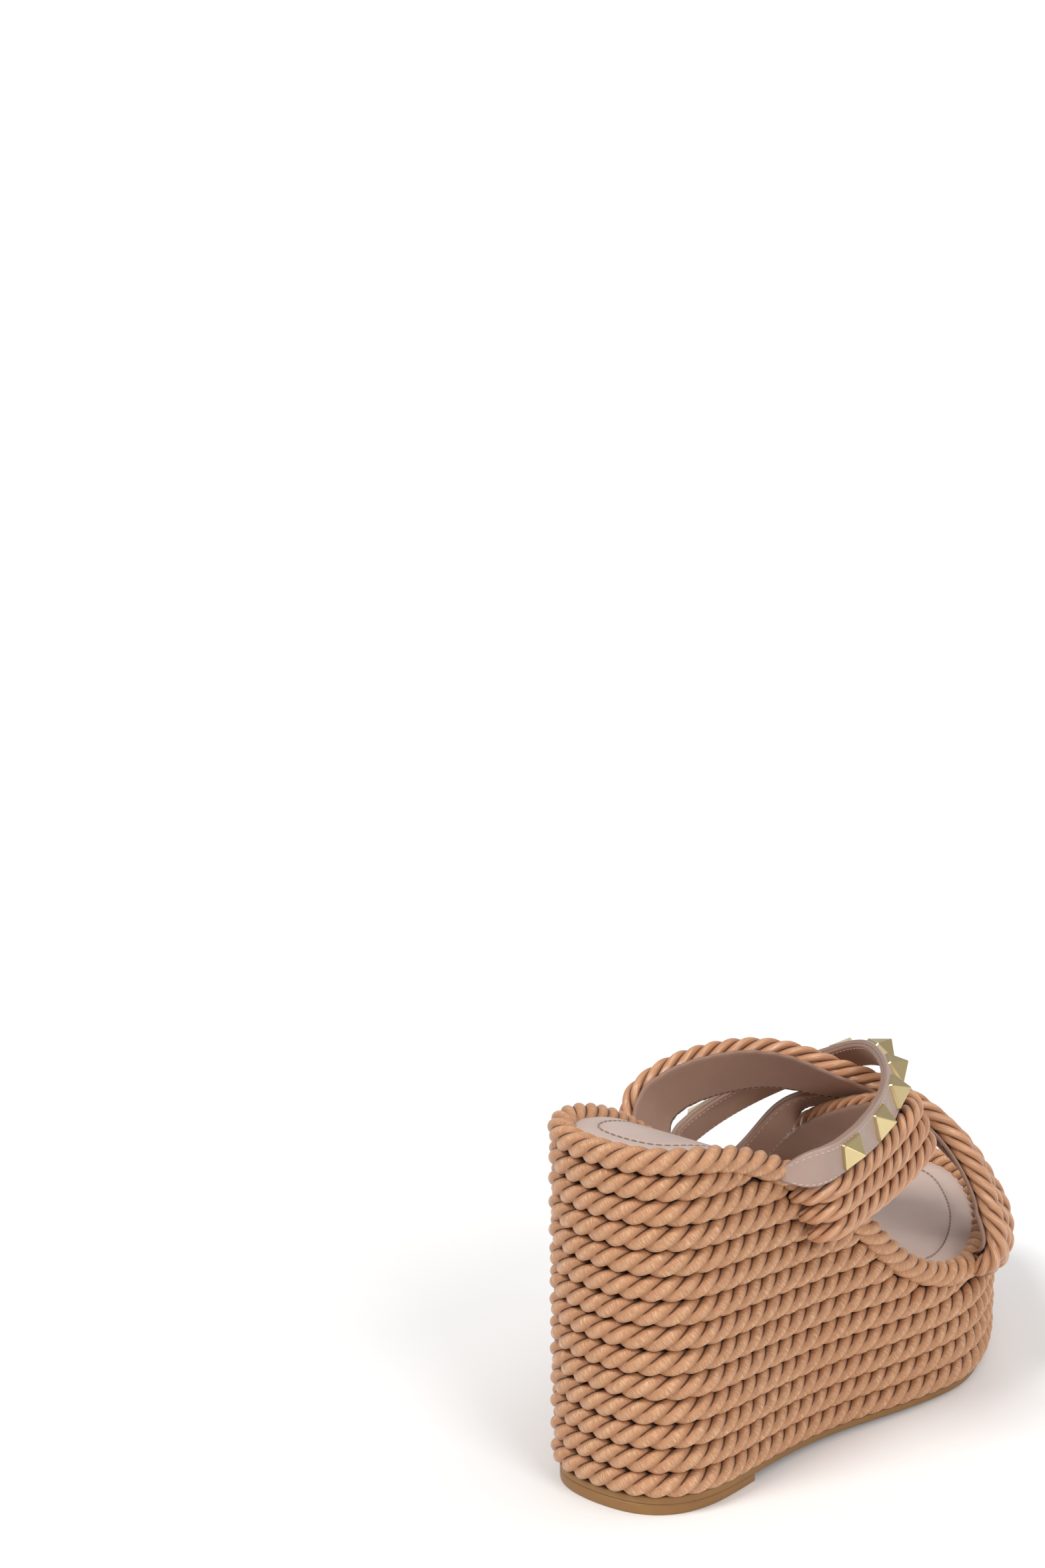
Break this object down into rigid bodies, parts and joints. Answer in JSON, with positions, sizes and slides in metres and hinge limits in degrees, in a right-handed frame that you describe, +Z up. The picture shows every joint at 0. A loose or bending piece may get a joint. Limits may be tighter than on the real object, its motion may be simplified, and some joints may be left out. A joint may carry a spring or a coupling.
{
  "type": "wedge sandal",
  "caption": "High wedge slide sandal wrapped in twisted satin cord, with crossing cord bands, studded leather straps and an open toe.",
  "frame": {"origin": "centre of the bounding box in plan, on the ground", "axes": "+Z up, +Y from the heel to the toe, +X towards the outer side of the right foot"},
  "size_m": [0.1163, 0.231, 0.1327],
  "materials": {
    "rope_satin": "twisted three-strand satin cord, tan rose",
    "leather_upper": "smooth taupe rose nappa with edge stitching",
    "leather_lining": "matt lining leather",
    "leather_footbed": "smooth lightly padded leather with a stitch line",
    "outsole_tan": "tan leather outsole and heel lift",
    "stud_metal": "pale gold satin metal",
    "wedge_cork": "pressed cork, hidden",
    "footbed_foam": "soft foam, hidden",
    "insole_board": "fibre board, hidden"
  },
  "bodies": {
    "root": {"outsole": "outsole_tan", "heel_lift": "outsole_tan", "wedge_core": "wedge_cork", "insole_board": "insole_board", "footbed_foam": "footbed_foam", "sock_lining": "leather_footbed", "rim_rope": "rope_satin", "rope_course_02": "rope_satin", "rope_course_03": "rope_satin", "rope_course_04": "rope_satin", "rope_course_05": "rope_satin", "rope_course_06": "rope_satin", "rope_course_07": "rope_satin", "rope_course_08": "rope_satin", "rope_course_09": "rope_satin", "rope_course_10": "rope_satin", "rope_course_11": "rope_satin", "rope_course_12": "rope_satin", "rope_course_13": "rope_satin", "rope_course_14": "rope_satin", "band_1_rope_rear": "rope_satin", "band_1_rope_mid": "rope_satin", "band_1_rope_front": "rope_satin", "band_1_lining": "leather_lining", "band_2_rope_rear": "rope_satin", "band_2_rope_mid": "rope_satin", "band_2_rope_front": "rope_satin", "band_2_lining": "leather_lining", "strap_a": "leather_upper", "strap_a_lining": "leather_lining", "stud_a1": "stud_metal", "stud_a2": "stud_metal", "stud_a3": "stud_metal", "stud_a4": "stud_metal", "stud_a5": "stud_metal", "stud_a6": "stud_metal", "stud_a7": "stud_metal", "stud_a8": "stud_metal", "stud_a9": "stud_metal", "strap_b": "leather_upper", "strap_b_lining": "leather_lining", "stud_b1": "stud_metal", "stud_b2": "stud_metal", "stud_b3": "stud_metal", "stud_b4": "stud_metal", "stud_b5": "stud_metal"}
  },
  "joints": []
}
